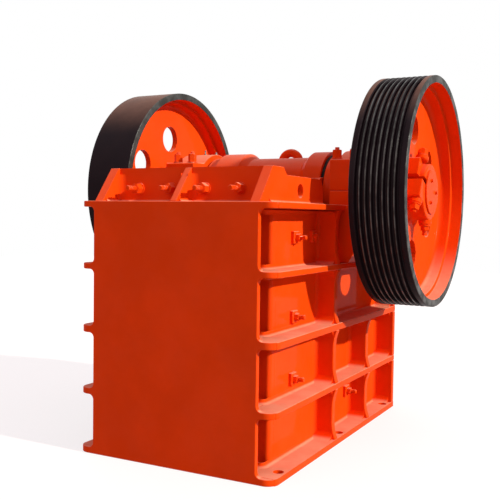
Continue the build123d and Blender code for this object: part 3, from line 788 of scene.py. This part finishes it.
def shelf_fillets(here):
    """The fillets round the gusset and the upper side plates, on the top flange and the front wall."""
    radius = 0.024
    plate_low, plate_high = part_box("upper_side_plate_right")
    gusset_low, gusset_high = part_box("front_gusset")
    shelf, wall = here.plate_top, here.front_wall
    head = gusset_high.z - 1.3 * radius
    toe = gusset_low.y + 0.9 * radius
    slope_foot = 0.07
    forward, upward = (0, -1, 0), (0, 0, 1)
    bm = bmesh.new()
    for sign in (1, -1):
        out, inward = (sign, 0, 0), (-sign, 0, 0)
        for x, away, start, end in (
            (plate_high.x, out, toe + slope_foot, plate_high.y - 0.01),
            (plate_low.x, inward, toe, wall),
            (gusset_high.x, out, toe, wall),
        ):
            fillet_strip(bm, (sign * x, start, shelf), (sign * x, end, shelf), away, upward, radius)
        for x, away in ((plate_low.x, inward), (gusset_high.x, out)):
            fillet_strip(bm, (sign * x, wall, shelf), (sign * x, wall, head), away, forward, 1.5 * radius)
        left, right = sorted((sign * gusset_high.x, sign * plate_low.x))
        fillet_strip(bm, (left, wall, shelf), (right, wall, shelf), forward, upward, radius)
    new_piece("shelf_fillets", bm, ["fillet_enamel"], "frame", 60)


class CRUSHER_OT_jaw_bolts(bpy.types.Operator):
    """Fits the bolts that hold the fixed jaw plate to the front wall"""

    bl_idname = "crusher.jaw_bolts"
    bl_label = "Fixed jaw bolts"

    def execute(self, context):
        here = Places()
        nut = sizes().jaw_bolt_nut
        bolts, spacing, above_shelf = 4, 0.195, 0.065
        bm = bmesh.new()
        for index in range(bolts):
            x = (index - (bolts - 1) / 2) * spacing
            place = facing((0, -1, 0), (x, here.front_wall, here.plate_top + above_shelf))
            fastener(bm, place, (0.03, 0.007), (nut, nut * 0.8), 0.2 * index, (0.013, 0.098))
        new_piece("fixed_jaw_bolts", bm, ["frame_enamel"], "frame")
        return {"FINISHED"}


class CRUSHER_OT_liner_bolts(bpy.types.Operator):
    """Fits the cheek plate bolts with their square plates on the side walls"""

    bl_idname = "crusher.liner_bolts"
    bl_label = "Cheek plate bolts"

    def execute(self, context):
        here = Places()
        nut = sizes().liner_bolt_nut
        plate, plate_thick, turn = 0.062, 0.018, 0.3
        capped = (-0.215, 1.12)
        spots = [(-0.449, 1.12), (-0.449, 0.72), (-0.452, 0.405), (0.321, 0.195), capped]
        for side, sign in SIDES:
            bm = bmesh.new()
            for y, z in spots:
                place = facing((sign, 0, 0), (sign * here.wall_x, y, z))
                prism(bm, square(plate, plate), place, plate_thick, 0.003)
                on_plate = raised(place, plate_thick)
                if (y, z) == capped:
                    hex_nut(bm, on_plate, nut, 0.012, turn)
                    continue
                hex_nut(bm, on_plate, nut, 0.022, turn)
                threaded_end(bm, on_plate, 0.012, 0.054)
            new_piece(f"cheek_plate_bolts_{side}", bm, ["frame_enamel"], "frame")
        return {"FINISHED"}


class CRUSHER_OT_bearings(bpy.types.Operator):
    """Dresses the bearing housings with their studs, nuts and grease nipples"""

    bl_idname = "crusher.bearings"
    bl_label = "Bearings"

    def execute(self, context):
        here = Places()
        nut = sizes().bearing_stud_nut
        ear_top = here.shaft.z + 0.174
        stud_inset = 0.035
        for side, sign in SIDES:
            for node in ("bearing_housing", "bearing_cap"):
                softened(f"{node}_{side}", "frame_enamel", 0.008, 3)
            low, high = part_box(f"bearing_cap_{side}")
            middle = (low.x + high.x) / 2
            half_span = (high.y - low.y) / 2 - stud_inset
            bm = bmesh.new()
            for y in (here.shaft.y - half_span, here.shaft.y + half_span):
                for x in (0.03, -0.07):
                    place = facing((0, 0, 1), (middle + sign * x, y, ear_top))
                    fastener(bm, place, (nut * 0.68, 0.006), (nut, 0.046), 0.5, (0.013, 0.06))
            new_piece(f"bearing_studs_{side}", bm, ["frame_enamel"], "frame")
            nipples = bmesh.new()
            foot, foot_thick = 0.016, 0.012
            for x, height in ((-0.005, 0.022), (-0.085, 0.007)):
                place = facing((0, 0, 1), (middle + sign * x, here.shaft.y, high.z - 0.004))
                hex_nut(nipples, place, foot, foot_thick)
                washer(nipples, raised(place, foot_thick), 0.005, height)
            new_piece(f"grease_nipples_{side}", nipples, ["bare_steel"], "frame")
        return {"FINISHED"}


# The wheels

HUB_RADIUS = 0.156
# From the rim's outer face in to the hub's face.
HUB_INSET = 0.041
# Thickness of the rim at its lips, and behind them.
LIP_THICK, RIM_THICK = 0.04, 0.06
GROOVE_PITCH, GROOVE_DEPTH = 0.03, 0.019


def rounded(points, steps=5):
    """Rounds the corners of a closed chain of (r, x, rounding) points."""
    made = []
    for index, (r, x, rounding) in enumerate(points):
        here = Vector((r, x))
        before = Vector(points[index - 1][:2]) - here
        after = Vector(points[(index + 1) % len(points)][:2]) - here
        reach = min(rounding, before.length * 0.48, after.length * 0.48)
        start = here + before.normalized() * reach
        end = here + after.normalized() * reach
        for k in range(steps + 1):
            t = k / steps
            made.append(tuple(start * (1 - t) ** 2 + here * 2 * t * (1 - t) + end * t**2))
    return made


def groove_points(middle_x, radius, grooves):
    """The belt grooves across a rim, from its inner side outwards."""
    half_top, half_floor = 0.0115, 0.0055
    crest, root = 0.0015, 0.002
    points = []
    for index in range(grooves):
        centre = middle_x + (index + 0.5 - grooves / 2) * GROOVE_PITCH
        points += [
            (radius, centre - half_top, crest),
            (radius - GROOVE_DEPTH, centre - half_floor, root),
            (radius - GROOVE_DEPTH, centre + half_floor, root),
            (radius, centre + half_top, crest),
        ]
    return points


def wheel_section(inner_x, outer_x, radius, grooves, web_low, web_high):
    """The closed (radius, x) outline of a wheel with its rim, lips, web and hub."""
    bore, lip_depth, web_root, edge = 0.0925, 0.068, 0.04, 0.003
    lip, inner = radius - LIP_THICK, radius - RIM_THICK

    def half(face_x, web_x, way):
        """From the bore to the outside of the rim, on one side of the web."""
        hub_x, step_x = face_x - way * HUB_INSET, face_x - way * lip_depth
        hub = [(bore, hub_x, 0.002), (HUB_RADIUS, hub_x, 0.012), (HUB_RADIUS, web_x, web_root)]
        rim = [(inner, web_x, web_root), (inner, step_x, 0.006), (lip, step_x, 0.006)]
        return [*hub, *rim, (lip, face_x, edge), (radius, face_x, edge)]

    across = groove_points((inner_x + outer_x) / 2, radius, grooves)
    return rounded([*half(outer_x, web_high, 1), *reversed(across), *reversed(half(inner_x, web_low, -1))])


def combine(piece, tool_bm, operation):
    """Joins closed shapes to a piece or cuts them out of it."""
    bmesh.ops.recalc_face_normals(tool_bm, faces=tool_bm.faces)
    tool = mesh_object("tool", tool_bm)
    step = piece.modifiers.new("combine", "BOOLEAN")
    step.operation = operation
    step.solver = "EXACT"
    step.object = tool
    apply_modifiers(piece)
    mesh = tool.data
    bpy.data.objects.remove(tool)
    bpy.data.meshes.remove(mesh)


def clamp_frame(sign, outward):
    """A matrix with local X along the clamp's slot, local Y across it and local Z along the shaft."""
    shaft = Places().shaft
    slot_angle = radians(154)
    slot = Vector((0, cos(slot_angle), sin(slot_angle)))
    across = Vector((0, -sin(slot_angle), cos(slot_angle)))
    turn = Matrix((slot, across, Vector((sign, 0, 0)))).transposed().to_4x4()
    return Matrix.Translation((sign * outward, shaft.y, shaft.z)) @ turn


def rounded_bar(bm, place, x0, x1, y0, y1, z0, z1, edge):
    """A cast block with rounded upright corners and chamfered ends."""
    outline = rounded([(x0, y0, edge), (x1, y0, edge), (x1, y1, edge), (x0, y1, edge)], 4)
    prism(bm, outline, raised(place, z0), z1 - z0, edge * 0.4)


def clamp_and_holes(casting, sign, hub_face, web_middle):
    """Adds the split clamp's lugs to a wheel's hub, and cuts its slot and the round holes of the web."""
    shaft = Places().shaft
    place = clamp_frame(sign, hub_face)
    lug_start, lug_end, lug_side, lug_depth, half_gap = 0.10, 0.187, 0.12, 0.11, 0.010
    slot_start, slot_end, half_slot = 0.01, 0.2, 0.016
    lugs = bmesh.new()
    rounded_bar(lugs, place, lug_start, lug_end, half_gap, lug_side, -lug_depth, -0.001, 0.01)
    rounded_bar(lugs, place, lug_start, lug_end, -lug_side, -half_gap, -lug_depth, -0.031, 0.01)
    combine(casting, lugs, "UNION")
    slot = bmesh.new()
    slot_span = (slot_start, slot_end, -half_slot, half_slot, -lug_depth - 0.002, 0.02)
    rounded_bar(slot, place, *slot_span, 0.002)
    combine(casting, slot, "DIFFERENCE")
    count, hole_circle, hole_radius, reach = 6, 0.35, 0.083, 0.06
    holes = bmesh.new()
    for index in range(count):
        angle = 2 * pi * (index + 0.5) / count
        y, z = shaft.y + hole_circle * cos(angle), shaft.z + hole_circle * sin(angle)
        place = facing((sign, 0, 0), (sign * (web_middle - reach), y, z))
        prism(holes, circle(hole_radius, 48), place, 2 * reach)
    combine(casting, holes, "DIFFERENCE")


WHEEL_FINISHES = ("frame_enamel", "rim_black", "rim_face", "ridge_steel", "hub_shaded_enamel")


def wheel_zone(face, shaft, inner_x, outer_x, radius, grooves):
    """The finish of one face of a wheel, from its place on the rim, the grooves, the hub or the web."""
    x = abs(face.center.x)
    out = hypot(face.center.y - shaft.y, face.center.z - shaft.z)
    side_slack, lip_slack, crest_slack, root_slack = 0.0035, 0.0005, 0.0008, 0.0025
    hub_reach = 0.215
    at_side = min(abs(x - outer_x), abs(x - inner_x)) < side_slack
    ridge_reach = (grooves - 1) / 2 * GROOVE_PITCH
    if out > radius - LIP_THICK + lip_slack and at_side:
        return "rim_face"
    if grooves and out > radius - crest_slack and abs(x - (inner_x + outer_x) / 2) < ridge_reach:
        return "ridge_steel"
    if out > radius - GROOVE_DEPTH - root_slack:
        return "rim_black"
    # The hub zone takes the copy with less dust and sheen: painted shade.
    return "hub_shaded_enamel" if out < hub_reach else "frame_enamel"


def wheel_piece(node, name, sign, grooves, web_inset):
    """A turned and cast wheel: rim with stepped lips, pierced web, hub and split clamp."""
    shaft = Places().shaft
    low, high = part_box(node)
    inner_x, outer_x = sorted((abs(low.x), abs(high.x)))
    radius = (high.z - low.z) / 2
    web_middle, half_web = (inner_x + outer_x) / 2 - web_inset, 0.018
    section = wheel_section(inner_x, outer_x, radius, grooves, web_middle - half_web, web_middle + half_web)
    bm = bmesh.new()
    lathe(bm, section, facing((sign, 0, 0), (0, shaft.y, shaft.z)), 180)
    casting = new_piece(name, bm, WHEEL_FINISHES, "rotor", 28)
    clamp_and_holes(casting, sign, outer_x - HUB_INSET, web_middle)
    for face in casting.data.polygons:
        zone = wheel_zone(face, shaft, inner_x, outer_x, radius, grooves)
        face.material_index = WHEEL_FINISHES.index(zone)
    casting.data.shade_smooth()
    casting.data.set_sharp_from_angle(angle=radians(24))
    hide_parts(node)


class CRUSHER_OT_wheels(bpy.types.Operator):
    """Makes the flywheel, the grooved pulley and their end plates"""

    bl_idname = "crusher.wheels"
    bl_label = "Flywheel and pulley"

    def execute(self, context):
        wheel_piece("grooved_pulley", "pulley_casting", 1, 8, 0.015)
        wheel_piece("flywheel", "flywheel_casting", -1, 0, 0.0)
        # The end plates take the hub's copy of the paint, with its painted shade.
        softened("hub_end_plates", "hub_shaded_enamel", 0.003)
        return {"FINISHED"}


class CRUSHER_OT_hub_bolts(bpy.types.Operator):
    """Fits the clamp bolts and the end plate bolts of both wheels"""

    bl_idname = "crusher.hub_bolts"
    bl_label = "Hub bolts"

    def execute(self, context):
        shaft = Places().shaft
        nut = sizes().clamp_bolt_nut
        end_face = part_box("hub_end_plates")[1].x
        hub_face = end_face - 0.01
        bolt_circle = 0.068
        along_slot, behind_face, beside_slot = 0.143, 0.035, 0.12
        lower_behind_face, let_in = 0.03, 0.003
        for side, sign in SIDES:
            bm = bmesh.new()
            for index, angle in enumerate((113, 239, 359)):
                y = shaft.y + bolt_circle * cos(radians(angle))
                z = shaft.z + bolt_circle * sin(radians(angle))
                place = facing((sign, 0, 0), (sign * end_face, y, z))
                fastener(bm, place, (0.011, 0.002), (0.017, 0.008), 0.4 * index)
            slot = clamp_frame(sign, hub_face)
            for end in (1, -1):
                spot = slot @ Vector((along_slot, end * beside_slot, -behind_face))
                place = facing(slot.to_3x3() @ Vector((0, end, 0)), spot)
                stud = (nut * 0.3, nut * 0.6 + 0.012)
                bossed_fastener(bm, place, nut, 0.004, 0.006, (nut, nut * 0.6), 0.1, stud)
            hub_foot = (sign * (hub_face - lower_behind_face), shaft.y, shaft.z - HUB_RADIUS + let_in)
            place = facing((0, 0, -1), hub_foot)
            bossed_fastener(bm, place, nut, 0.006, 0.008, (nut * 0.9, nut * 0.5), 0.3, (nut * 0.28, 0.052))
            # The hub bolts take the hub's copy of the paint, with its painted shade.
            new_piece(f"hub_bolts_{side}", bm, ["hub_shaded_enamel"], "rotor")
        return {"FINISHED"}


def bossed_fastener(bm, place, nut, sunk, washer_thick, nut_size, turn, stud):
    """A washer, nut and stud on a round boss that is let into the casting."""
    boss = 0.028
    washer(bm, raised(place, -sunk), nut * 0.72, boss + sunk)
    fastener(bm, raised(place, boss), (nut * 0.62, washer_thick), nut_size, turn, stud)


class CRUSHER_OT_moving_jaw(bpy.types.Operator):
    """Rounds the swing jaw's castings and the jaw plates, and fits the wedge bolts and the lifting eye"""

    bl_idname = "crusher.moving_jaw"
    bl_label = "Swing jaw"

    def execute(self, context):
        softened("jaw_plate_wedge", "frame_enamel", 0.004)
        # The barrel takes the darker, less dusty copy of the paint: painted shade.
        softened("pitman", "barrel_shaded_enamel", 0.006, 2, 32)
        felt_rings()
        for node in ("swing_jaw_plate", "fixed_jaw_plate", "cheek_plate_right", "cheek_plate_left"):
            softened(node, "manganese_steel_skin", 0.003)
        wedge_bolts()
        eye_ring()
        return {"FINISHED"}


def felt_rings():
    """Dark felt rings in the corners between the barrel's end flanges and its end covers."""
    shaft = Places().shaft
    cover_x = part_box("pitman")[1].x
    ends = [v.co for v in frame["nodes"]["pitman"].data.vertices if v.co.x > cover_x - 0.001]
    cover_radius = max(hypot(end.y - shaft.y, end.z - shaft.z) for end in ends)
    cover_length, thick, proud, buried = 0.069, 0.016, 0.004, 0.002
    section = [
        (cover_radius - buried, 0),
        (cover_radius + proud, 0),
        (cover_radius + proud, thick - proud / 2),
        (cover_radius + proud / 2, thick),
        (cover_radius - buried, thick),
    ]
    bm = bmesh.new()
    for _, sign in SIDES:
        lathe(bm, section, facing((sign, 0, 0), (sign * (cover_x - cover_length), shaft.y, shaft.z)), 96)
    new_piece("felt_rings", bm, ["greasy_seal"], "jaw")


def wedge_bolts():
    """The bolts that draw the wedge down on the swing jaw plate."""
    vertices = frame["nodes"]["jaw_plate_wedge"].data.vertices
    corners = sorted({(round(v.co.z, 4), round(v.co.y, 4)) for v in vertices})
    _, (front_z, front_y), (top_z, top_y) = corners
    slope = Vector((0, top_y - front_y, top_z - front_z))
    outward = Vector((0, -slope.z, slope.y)).normalized()
    middle = Vector((0, front_y, front_z)) + slope * 0.45
    spacing = 0.15
    bm = bmesh.new()
    for index in range(-2, 3):
        place = facing(outward, middle + Vector((index * spacing, 0, 0)))
        fastener(bm, place, (0.017, 0.004), (0.027, 0.013), 0.3 * index)
    new_piece("wedge_bolts", bm, ["dark_steel"], "jaw")


def eye_ring():
    """The lifting eye: a forged ring let into the top of the barrel."""
    low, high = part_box("lifting_eye")
    bar = (high.y - low.y) / 2
    middle = (high.x - low.x) / 2 - bar
    section = [(middle + out, up) for out, up in circle(bar, 24)]
    bm = bmesh.new()
    lathe(bm, section, facing((0, 1, 0), (0, (low.y + high.y) / 2, high.z - bar - middle)), 72)
    ring = new_piece("lifting_ring", bm, ["frame_enamel"], "jaw")
    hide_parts("lifting_eye")


class CRUSHER_OT_toggle_gear(bpy.types.Operator):
    """Rounds the toggle plate, its block and the shaft, and makes the shims, the rod and its spring"""

    bl_idname = "crusher.toggle_gear"
    bl_label = "Toggle gear"

    def execute(self, context):
        softened("toggle_plate", "dark_steel", 0.003)
        for node in ("toggle_block", "toggle_block_guides", "spring_cup"):
            softened(node, "frame_enamel", 0.004)
        softened("eccentric_shaft", "dark_steel", 0.003)
        shim_pack()
        rod_and_nut()
        coil_spring()
        return {"FINISHED"}


def shim_pack():
    """Loose steel plates of three thicknesses behind the toggle block."""
    low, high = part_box("adjusting_shims")
    shares = (3, 2, 2, 1, 1, 1)
    joint, chamfer = 0.0003, 0.0012
    bm = bmesh.new()
    behind = low.y
    for index, share in enumerate(shares):
        thick = (high.y - low.y) * share / sum(shares)
        wide = high.x - low.x - 0.004 * (index % 3)
        tall = high.z - low.z - 0.003 * (index % 2)
        place = facing((0, 1, 0), (0, behind, (low.z + high.z) / 2))
        prism(bm, square(wide, tall), place, thick - joint, chamfer, True)
        behind += thick
    shims = new_piece("shim_plates", bm, ["dark_steel"], "frame")
    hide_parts("adjusting_shims")


def rod_and_nut():
    """The tension rod, threaded at its free end, with the spring's washer and its nut."""
    low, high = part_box("tension_rod")
    rod, disc = 0.028, (high.x - low.x) / 2
    length = high.y - low.y
    thread, pitch, depth = 0.16, 0.005, 0.0022
    disc_from_end, disc_thick, edge = 0.048, 0.024, 0.003
    thread_start = length - thread
    profile = [(POLE, 0), (rod * 0.9, 0), (rod, 0.004), (rod, thread_start)]
    for k in range(int((thread - 0.006) / pitch)):
        foot = thread_start + k * pitch
        profile += [(rod - depth, foot + pitch / 2), (rod, foot + pitch)]
    profile += [(rod - 0.004, length), (POLE, length)]
    bm = bmesh.new()
    place = facing((0, 1, 0), (0, low.y, (low.z + high.z) / 2))
    lathe(bm, profile, place, 48, closed=False)
    front, back = length - disc_from_end, length - disc_from_end + disc_thick
    chamfered = [(disc - edge, front), (disc, front + edge), (disc, back - edge), (disc - edge, back)]
    lathe(bm, [(rod, front), *chamfered, (rod, back)], place, 64)
    hex_nut(bm, raised(place, back), 0.085, 0.02, 0.2)
    piece = new_piece("tension_rod_and_nut", bm, ["dark_steel"], "jaw")
    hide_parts("tension_rod")


def coil_spring():
    """The compression spring round the tension rod."""
    low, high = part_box("rod_spring")
    wire = 0.011
    coil = (high.x - low.x) / 2 - wire
    axis_z = (low.z + high.z) / 2
    start, length = low.y + wire, high.y - low.y - 2 * wire
    turns, steps, sides = 5, 48, 16
    rise = length / (2 * pi * turns * coil)
    total = turns * steps
    bm = bmesh.new()
    rings = []
    for k in range(total + 1):
        angle = 2 * pi * turns * k / total
        radial = Vector((cos(angle), 0, -sin(angle)))
        spot = radial * coil + Vector((0, start + length * k / total, axis_z))
        across = Vector((-sin(angle), rise, -cos(angle))).normalized().cross(radial)
        rings.append([bm.verts.new(spot + out * radial + up * across) for out, up in circle(wire, sides)])
    skin(bm, rings)
    spring = new_piece("coil_spring", bm, ["dark_steel"], "jaw", 50)
    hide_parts("rod_spring")


class CRUSHER_OT_stage(bpy.types.Operator):
    """Sets up the pale floor, the lights and the camera"""

    bl_idname = "crusher.stage"
    bl_label = "Stage"

    def execute(self, context):
        stage_floor()
        stage_world()
        stage_lights()
        stage_camera()
        context.scene.view_settings.view_transform = "Standard"
        return {"FINISHED"}


def stage_floor():
    """A pale floor that is white to the camera and in reflections, with the machine's shadow on it."""
    side = 28.0
    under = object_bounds()[0][2] - 0.001
    bm = bmesh.new()
    bm.faces.new([bm.verts.new((x, y, under)) for x, y in square(side, side)])
    floor = mesh_object("floor", bm)
    tree, shader = new_material("pale_floor")
    plug(
        tree, shader,
        Base_Color=(0.36, 0.29, 0.29),
        Roughness=0.7,
        Specular_IOR_Level=0.1,
        Emission_Color=(0.94, 1.0, 1.0),
        Emission_Strength=times(tree, white_to_view(tree), 0.73),
    )
    floor.data.materials.append(finish("pale_floor"))
    floor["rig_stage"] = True


def stage_world():
    """White behind the machine, and a weak warm light on it from all round."""
    world = bpy.data.worlds.new("studio")
    world.use_nodes = True
    bpy.context.scene.world = world
    tree = world.node_tree
    strength = tree.nodes.new("ShaderNodeMapRange")
    plug(tree, strength.inputs, Value=white_to_view(tree), To_Min=0.45)
    tint = mixed(tree, white_to_view(tree), (1.0, 0.62, 0.70), (1.0, 1.0, 1.0))
    plug(tree, tree.nodes["Background"].inputs, Color=tint, Strength=strength.outputs["Result"])


def white_to_view(tree):
    """One for rays from the camera, reflections and glass, none for the light on the object."""
    path = tree.nodes.new("ShaderNodeLightPath").outputs
    mirrored = math_node(tree, "MAXIMUM", path["Is Glossy Ray"], path["Is Transmission Ray"])
    return math_node(tree, "MAXIMUM", path["Is Camera Ray"], mirrored)


def stage_lights():
    """A low sun square to the pulley's side, a weak, broad light on the front and one from above."""
    for name, energy, angle, direction, tint in (
        ("key_sun", 4.2, 1.5, (1.0, -0.02, 0.48), (1.0, 1.0, 0.86)),
        ("front_fill", 0.3, 40, (-0.2, -1.0, 0.5), (1.0, 0.6, 0.65)),
        ("sky_fill", 0.6, 50, (0.0, 0.0, 1.0), (0.96, 0.98, 1.0)),
    ):
        data = bpy.data.lights.new(name, "SUN")
        data.energy = energy
        data.angle = radians(angle)
        data.color = tint
        new_object(name, data).matrix_world = facing(direction, (0, 0, 5))


def stage_camera():
    """The photograph's viewpoint: right of the front plate, a little under the shaft."""
    spot = (2.0589, -4.0165, 1.2242)
    azimuth, tilt, roll = radians(27.7), radians(2.5), radians(0.8)
    photo_width, focal_pixels = 500, 778.8
    turn = Matrix.Rotation(azimuth, 4, "Z") @ Matrix.Rotation(pi / 2 - tilt, 4, "X")
    data = bpy.data.cameras.new("photo_camera")
    data.sensor_width = 36.0
    data.lens = focal_pixels / photo_width * data.sensor_width
    camera = new_object("photo_camera", data)
    camera.matrix_world = Matrix.Translation(spot) @ turn @ Matrix.Rotation(roll, 4, "Z")
    bpy.context.scene.camera = camera


class CRUSHER_PT_panel(bpy.types.Panel):
    """The crusher's colours, sizes and steps"""

    bl_label = "Jaw crusher"
    bl_idname = "CRUSHER_PT_panel"
    bl_space_type = "VIEW_3D"
    bl_region_type = "UI"
    bl_category = "Crusher"

    def draw(self, context):
        for group in (context.scene.crusher_colours, context.scene.crusher_sizes):
            column = self.layout.column(align=True)
            for name in group.__annotations__:
                column.prop(group, name)
        steps = self.layout.column(align=True)
        for operator in OPERATORS:
            steps.operator(operator.bl_idname)


OPERATORS = (
    CRUSHER_OT_finishes,
    CRUSHER_OT_frame_castings,
    CRUSHER_OT_cast_fillets,
    CRUSHER_OT_jaw_bolts,
    CRUSHER_OT_liner_bolts,
    CRUSHER_OT_bearings,
    CRUSHER_OT_wheels,
    CRUSHER_OT_hub_bolts,
    CRUSHER_OT_moving_jaw,
    CRUSHER_OT_toggle_gear,
    CRUSHER_OT_stage,
)
CLASSES = (CrusherColours, CrusherSizes, *OPERATORS, CRUSHER_PT_panel)


def register():
    for cls in CLASSES:
        bpy.utils.register_class(cls)
    bpy.types.Scene.crusher_colours = bpy.props.PointerProperty(type=CrusherColours)
    bpy.types.Scene.crusher_sizes = bpy.props.PointerProperty(type=CrusherSizes)


def unregister():
    del bpy.types.Scene.crusher_sizes
    del bpy.types.Scene.crusher_colours
    for cls in reversed(CLASSES):
        bpy.utils.unregister_class(cls)


def main():
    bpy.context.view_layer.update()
    register()
    for operator in OPERATORS:
        module, name = operator.bl_idname.split(".")
        getattr(getattr(bpy.ops, module), name)()


if __name__ == "__main__":
    main()
